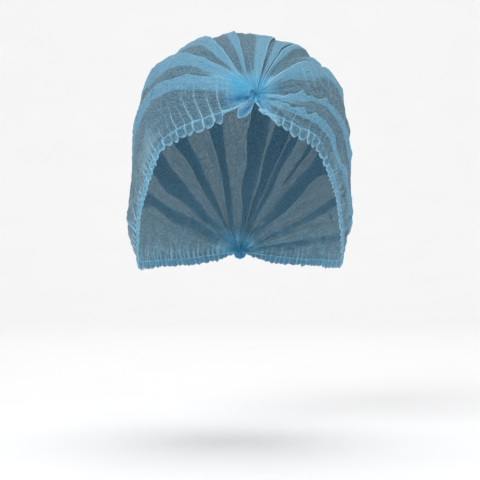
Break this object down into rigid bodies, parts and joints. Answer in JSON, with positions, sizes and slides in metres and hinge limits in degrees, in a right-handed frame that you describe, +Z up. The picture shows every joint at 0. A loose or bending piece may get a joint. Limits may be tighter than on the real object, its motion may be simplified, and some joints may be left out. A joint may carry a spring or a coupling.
{
  "type": "disposable hairnet",
  "caption": "Pleated disposable cap of thin spunbond cloth, kept in its worn form, gathered at welds front and back, with an elastic and a scalloped ruffle along each edge",
  "frame": {"origin": "inside top of the crown, where it sits on a head", "axes": "+X to the picture's right, the wearer's left; -Y the front, where the knot is; +Z up"},
  "size_m": [0.1865, 0.2048, 0.1947],
  "materials": {
    "spunbond": "matt, thin and half see-through",
    "hem_cloth": "matt, doubled and ruffled",
    "elastic": "matt thread",
    "weld": "pressed, with small embossed dots"
  },
  "bodies": {
    "root": {"crown": "spunbond", "hem_left": "hem_cloth", "hem_right": "hem_cloth", "elastic_left": "elastic", "elastic_right": "elastic", "front_weld": "weld", "rear_weld": "weld", "end_tab": "hem_cloth"}
  },
  "joints": []
}
